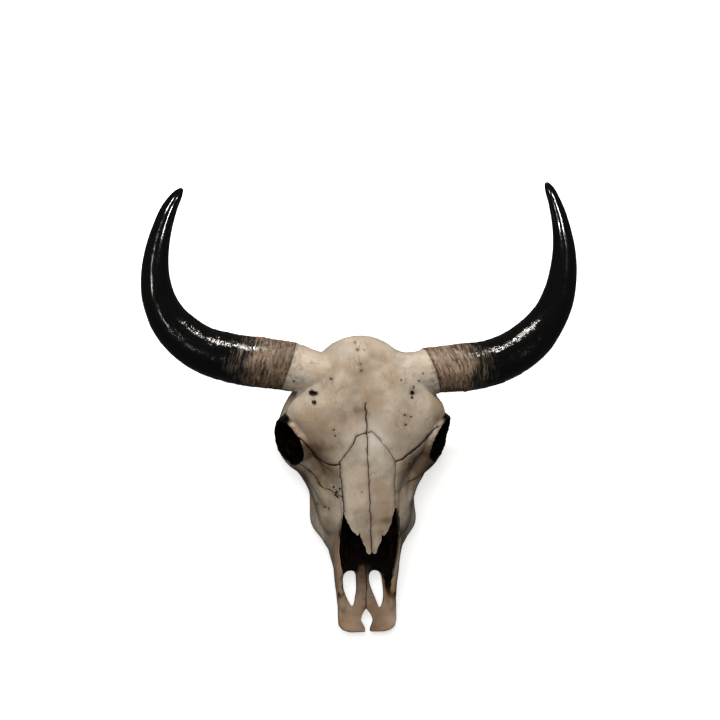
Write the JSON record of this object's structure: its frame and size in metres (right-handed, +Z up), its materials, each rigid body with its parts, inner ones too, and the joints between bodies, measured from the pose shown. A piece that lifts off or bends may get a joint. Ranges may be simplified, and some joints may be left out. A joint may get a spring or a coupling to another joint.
{
  "type": "bison skull",
  "caption": "Bull bison skull without lower jaw: forehead, tubular eye sockets, split facial bones, cheek teeth and curved black horn sheaths, lying on its teeth.",
  "frame": {"origin": "on the table under the middle of the skull's bounding box", "axes": "+Z up from the table, +X towards the animal's left horn, +Y towards the back of the head; the muzzle points to -Y"},
  "size_m": [0.8052, 0.7884, 0.2762],
  "materials": {
    "bone": "dry weathered bone, warm grey-beige",
    "muzzle_bone": "dry bone stained brown",
    "horn": "polished black horn, brown and ringed at its base"
  },
  "bodies": {
    "root": {"cranium": "bone", "nasal_left": "bone", "nasal_right": "bone", "lacrimal_left": "bone", "lacrimal_right": "bone", "zygomatic_left": "bone", "zygomatic_right": "bone", "maxilla_left": "bone", "maxilla_right": "bone", "premaxilla_left": "muzzle_bone", "premaxilla_right": "muzzle_bone", "horn_sheath_left": "horn", "horn_sheath_right": "horn"}
  },
  "joints": []
}
